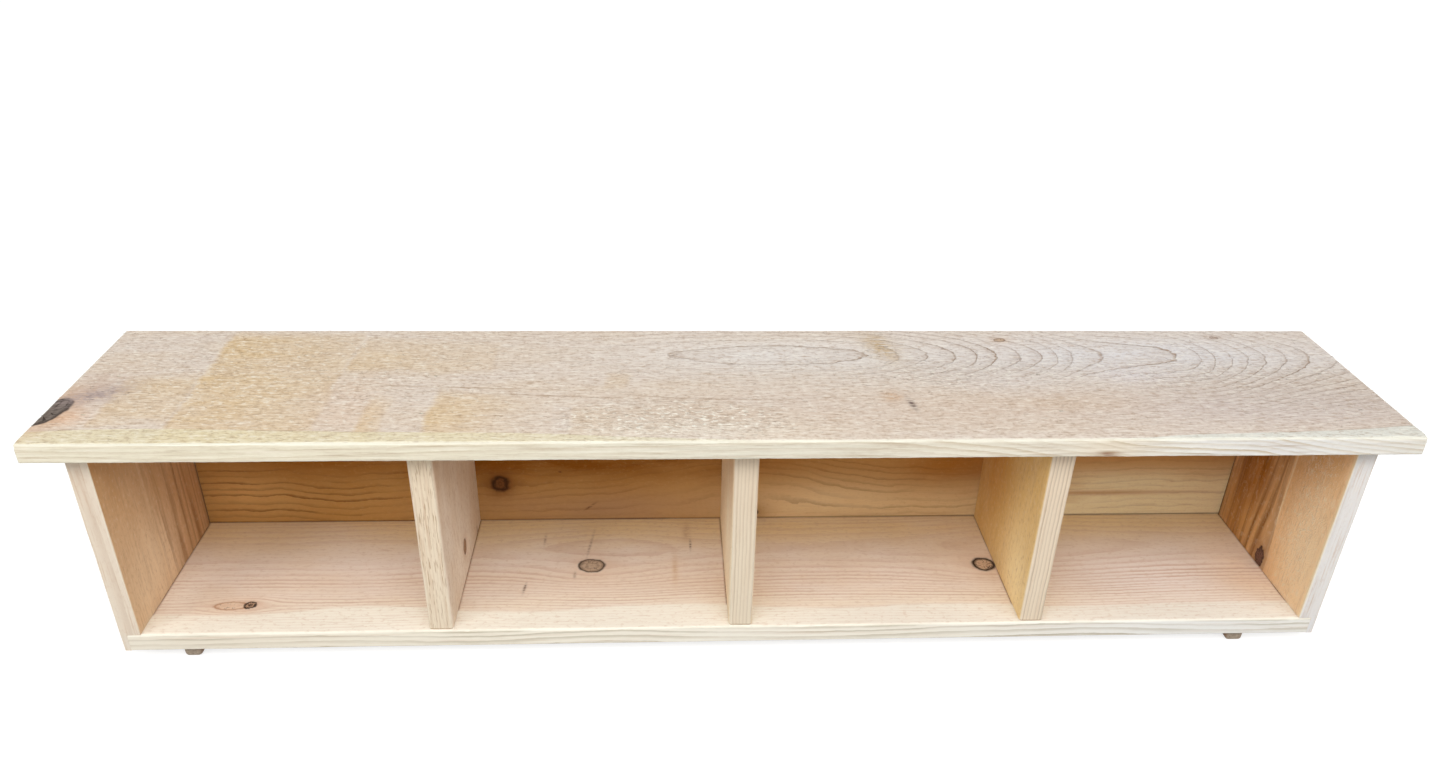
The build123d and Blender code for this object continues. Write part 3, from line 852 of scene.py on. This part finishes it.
rightSide = dict(
    upright, name="rightPanel", node="right_side", slot="side_wood", rabbets=["bottom_board"],
    seed=5.0, face=(rightInner, 0, 0), outward=-1,
    rings=dict(uprightRings, pithAcross=0.05, depth=0.05, width=0.011, broken=0.9),
    ringShow=0.5, ringFade=("a", -0.03, -0.01, 0.1, 1), edgeRings=0.5, edgeLine=(200, 194, 186),
    edgeRough=0.45, edgeRun=0.35, fibreShow=0.45,
    pale=(252, 213, 167), warm=(250, 204, 149), late=(128, 79, 44), edge=(222, 224, 228),
    streaks=dict(rate=62, fade=("a", -0.02, 0, 0.05, 1), amount=0.85, colour=(124, 74, 22)),
    fuzz=dict(scale=(95, 150, 150), curl=1.2, base=0.4, speck=0.5, pit=0.2, relief=1, rise=0.0016,
              loops=(110, 150, 150), zones=[area((0.16, -0.068), (0.15, 0.034), 1)]),
    # painted shade towards the rear of the inner face
    washes=[mark((0.17, 0.06), (0.4, 0.05), (172, 106, 14), 1.15),
            # painted light low on the inner face
            mark((0.07, 0.025), (0.045, 0.06), (240, 188, 122), 0.85),
            mark((0.12, -0.085), (0.12, 0.045), (255, 234, 196), 0.75),
            # painted shade under the top
            mark((0.3, 0), (0.085, 0.1), (187, 121, 38), 0.9),
            mark((0.17, -0.014), (0.4, 0.0016), (250, 228, 190), 0.9),
            mark((0.17, -0.1165), (0.4, 0.004), (250, 232, 196), 0.8),
            rearSeamShade,
            mark((0.03, -0.1), (0.013, 0.05), (228, 224, 218), 1)],
    knots=[knotAt((0.056, -0.003), 0.0095, (120, 84, 72), (62, 42, 40), (62, 40, 34), (150, 104, 74),
                  stretch=1.6, haloShow=0.7, ragged=1.3, cracks=0.7, reach=4, run=3)])
makeBoard(rightSide)

dividers = dict(
    left=dict(seed=6.0, pale=(240, 224, 206), warm=(234, 214, 192), late=(196, 164, 138),
              # painted light low down, then painted shade under the top
              washes=[mark((0.075, 0), (0.05, 0.055), (255, 244, 228), 0.9),
                      mark((0.31, 0), (0.09, 0.4), (206, 174, 144), 0.8)],
              edge=(230, 215, 190), edgeRings=0.4, fibreShow=0.6, fibreScale=(30, 300, 300),
              dashes=dict(scale=(150, 760, 760), above=0.57, amount=0.6, colour=(164, 126, 88)),
              stains=[mark((0.047, 0.087), (0.01, 0.004), (124, 88, 64), 0.8)],
              knots=[knotAt((0.0855, 0.0005), 0.0085, (176, 136, 104), (136, 102, 76), (116, 82, 58),
                            (198, 160, 130))]),
    centre=dict(seed=7.0, pale=(255, 241, 212), warm=(252, 231, 197),
                # painted shade under the top
                washes=[mark((0.29, 0.02), (0.09, 0.3), (216, 182, 144), 1.1)],
                edge=(221, 207, 186), edgeRings=0.65, edgeLine=(182, 158, 130)),
    right=dict(seed=8.0, pale=(236, 202, 141), warm=(230, 192, 124), late=(186, 140, 84),
               # painted light low at the front, then painted shade high at the rear
               washes=[mark((0.08, -0.07), (0.075, 0.055), (255, 230, 176), 1.1),
                       mark((0.22, 0.08), (0.13, 0.07), (206, 140, 52), 1)],
               edge=(226, 213, 197), edgeRings=0.95, edgeLine=(172, 148, 124)))
# painted shadow and dirt where each divider meets the bottom board
footShadeAndDirt = mark((floorHeight, 0), (0.0012, 3), (126, 92, 62), 0.9)
for side, changes in dividers.items():
    node = side + "_divider"
    makeBoard(dict(upright, name=side + "Upright", node=node, slot="divider_wood", ease=0.004,
                   face=(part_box(node)[1].x, 0, 0), farMarks=1, arrisShow=0.2, edgeWashes=[footShadeAndDirt],
                   rings=dict(uprightRings, pithAcross=-0.05, depth=0.085, width=0.0034), **changes))

for seed, side in ((9.0, "left"), (10.0, "right")):
    node = side + "_runner"
    low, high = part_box(node)
    pits = [pit for pit in nailSlots("runner_screws", 2, -1) if low.x < pit[0].x < high.x]
    makeBoard(dict(upright, name=side + "Runner", node=node, slot="runner_wood", pits=pits, seed=seed,
                   cell=0.003, ease=0.0055, rearEase=0.0055, easeAxes=(1, 1, 1), sawDepth=0.0002,
                   sawScale=(150, 30, 150), axes="yxz", face=((low.x + high.x) / 2, 0, low.z), outward=-1,
                   rings=dict(uprightRings, pithAcross=0.01, depth=0.03, width=0.002),
                   # side faces darker and redder than the grey end grain: side grain colour, partly painted
                   # shade
                   pale=(176, 150, 126), warm=(160, 130, 104), late=(120, 92, 72), edge=(150, 112, 86),
                   end=(166, 152, 136), endShow=0.85, fibreDark=(104, 86, 72), fibreShow=0.6,
                   rubbedHighlight=(176, 158, 140)))


# Steel fasteners
def steelFinish(name, base):
    material, tree, shader = newMaterial(name)
    place = wire(put(tree, "ShaderNodeTexCoord"), "Object")
    scuff = noise(place * 900, 0.4, detail=4, roughness=0.65)
    plug(tree, blend(soft(scuff, 0.4, 0.65), base, (120, 116, 110)), shader.inputs["Base Color"])
    plug(tree, soft(scuff, 0.3, 0.7, 0.32, 0.55), shader.inputs["Roughness"])
    bump = put(tree, "ShaderNodeBump", {"Strength": 0.3, "Distance": 0.0002, "Height": scuff})
    plug(tree, bump, shader.inputs["Normal"])
    shader.inputs["Metallic"].default_value = 1
    return material


nailSteel = steelFinish("nailSteel", (170, 168, 164))
screwSteel = steelFinish("screwSteel", (190, 182, 150))
for node in ("top_nails", "bottom_nails", "back_nails", "runner_screws"):
    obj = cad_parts[node]
    obj.data.materials.clear()
    obj.data.materials.append(screwSteel if node == "runner_screws" else nailSteel)
print("steel done")


# Stage, light and camera
floorHalf = 9
floorThickness = 0.02
worldLight = 0.42   # the world's share of the light; the camera sees it white
lampAim = Vector((0, 0, 0.2))


def seenDirectly(tree):  # 1 on what the camera sees, 0 on what only lights the unit
    path = tree.nodes.new("ShaderNodeLightPath")
    camera, glossy, through = [wire(path, f"Is {kind} Ray") for kind in ("Camera", "Glossy", "Transmission")]
    return calc("MAXIMUM", calc("MAXIMUM", camera, glossy), through)


def makeStage():
    slab = ((-floorHalf, -floorHalf, -floorThickness), (floorHalf, floorHalf, 0))
    floor = newObject("floor", boxesMesh("floor", [slab]))
    material, tree = newMaterial("floorPaper")[:2]
    tree.nodes.clear()
    bounce = put(tree, "ShaderNodeBsdfDiffuse", {"Color": (0.6, 0.6, 0.6, 1)})
    shown = put(tree, "ShaderNodeBsdfDiffuse", {"Color": (0.4, 0.4, 0.4, 1)})
    x, y = split(wire(put(tree, "ShaderNodeTexCoord"), "Object"))[:2]
    away = calc("SQRT", x * x + (y + 0.6) ** 2)
    evened = soft(away, 0.6, 2.6, 0.74, 0.88)  # makes up for the lamps' fall-off
    glow = put(tree, "ShaderNodeEmission", {"Color": (1, 1, 1, 1), "Strength": evened})
    paper = put(tree, "ShaderNodeAddShader", {0: shown, 1: glow})
    both = put(tree, "ShaderNodeMixShader", {0: seenDirectly(tree), 1: bounce, 2: paper})
    plug(tree, both, tree.nodes.new("ShaderNodeOutputMaterial").inputs["Surface"])
    floor.data.materials.append(material)


def makeLight():
    world = bpy.data.worlds.new("studio")
    bpy.context.scene.world = world
    world.use_nodes = True
    tree = world.node_tree
    back = tree.nodes["Background"]
    back.inputs["Color"].default_value = (1, 1, 1, 1)
    plug(tree, seenDirectly(tree) * (1 - worldLight) + worldLight, back.inputs["Strength"])
    for name, place, size, power in (("keyPanel", (0, -1.95, 2.55), (2.8, 1.2), 55),
                                     ("leftFill", (-2.4, -1.7, 1.9), (1.2, 1.2), 26),
                                     ("rightFill", (2.4, -1.7, 1.9), (1.2, 1.2), 18)):
        lamp = bpy.data.lights.new(name, "AREA")
        lamp.shape = "RECTANGLE"
        lamp.size, lamp.size_y = size
        lamp.energy = power
        obj = newObject(name, lamp)
        obj.location = place
        obj.rotation_euler = (lampAim - Vector(place)).to_track_quat("-Z", "Y").to_euler()


def makeCamera():
    eye = Vector((-0.0906, -1.1633, 0.9654))
    aim = Vector((-0.0053, 0.2183, 0.2))
    roll = math.radians(1.547)
    data = bpy.data.cameras.new("photoCamera")
    data.sensor_width = 36
    data.lens = 26.751
    camera = newObject("photoCamera", data)
    camera.location = eye
    level = (aim - eye).to_track_quat("-Z", "Y").to_matrix()
    camera.rotation_euler = (level @ Matrix.Rotation(roll, 3, "Z")).to_euler()
    bpy.context.scene.camera = camera


makeStage()
makeLight()
makeCamera()
bpy.context.scene.view_settings.view_transform = "Standard"
print("stage, light and camera done")
